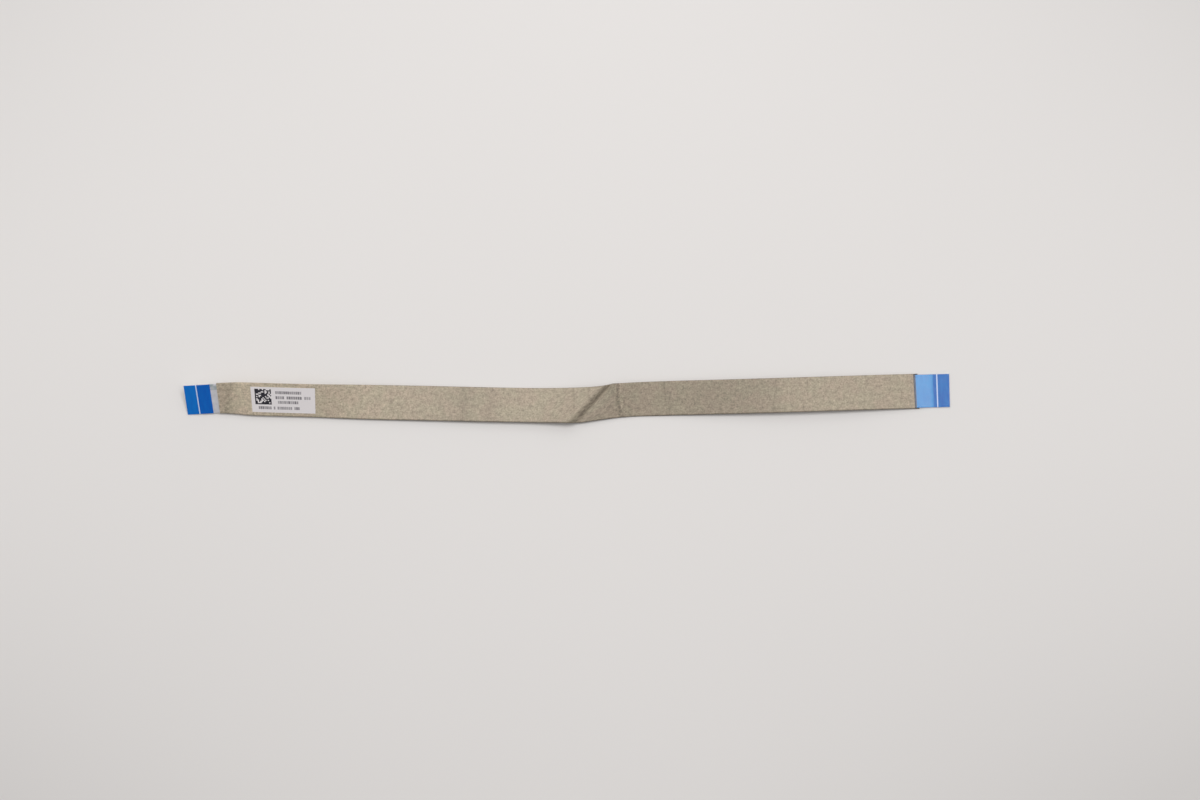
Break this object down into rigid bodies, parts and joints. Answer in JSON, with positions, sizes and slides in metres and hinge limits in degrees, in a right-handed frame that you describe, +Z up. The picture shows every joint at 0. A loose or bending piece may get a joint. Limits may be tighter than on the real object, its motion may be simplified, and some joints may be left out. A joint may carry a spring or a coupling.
{
  "type": "shielded flat flex cable",
  "caption": "Shielded flat flex jumper cable with blue stiffened tips, lying slightly twisted with one slanting crease.",
  "frame": {"origin": "middle of the footprint, on the table that the cable lies on", "axes": "+X along the cable from its rolled-up tip to its flat tip, +Y across it, +Z up"},
  "size_m": [0.2442, 0.0156, 0.0068],
  "materials": {
    "conductor": "tin-plated copper, bright",
    "film": "translucent white polyester film",
    "stiffener": "glossy blue polyester",
    "shield": "grey conductive cloth, fine weave, faint metallic sheen",
    "label": "smooth white sticker"
  },
  "bodies": {
    "root": {"conductor_01": "conductor", "conductor_02": "conductor", "conductor_03": "conductor", "conductor_04": "conductor", "conductor_05": "conductor", "conductor_06": "conductor", "conductor_07": "conductor", "conductor_08": "conductor", "conductor_09": "conductor", "conductor_10": "conductor", "conductor_11": "conductor", "conductor_12": "conductor", "conductor_13": "conductor", "conductor_14": "conductor", "conductor_15": "conductor", "conductor_16": "conductor", "conductor_17": "conductor", "conductor_18": "conductor", "conductor_19": "conductor", "conductor_20": "conductor", "insulation_top": "film", "insulation_bottom": "film", "stiffener_left": "stiffener", "stiffener_right": "stiffener", "shield": "shield", "label": "label"}
  },
  "joints": []
}
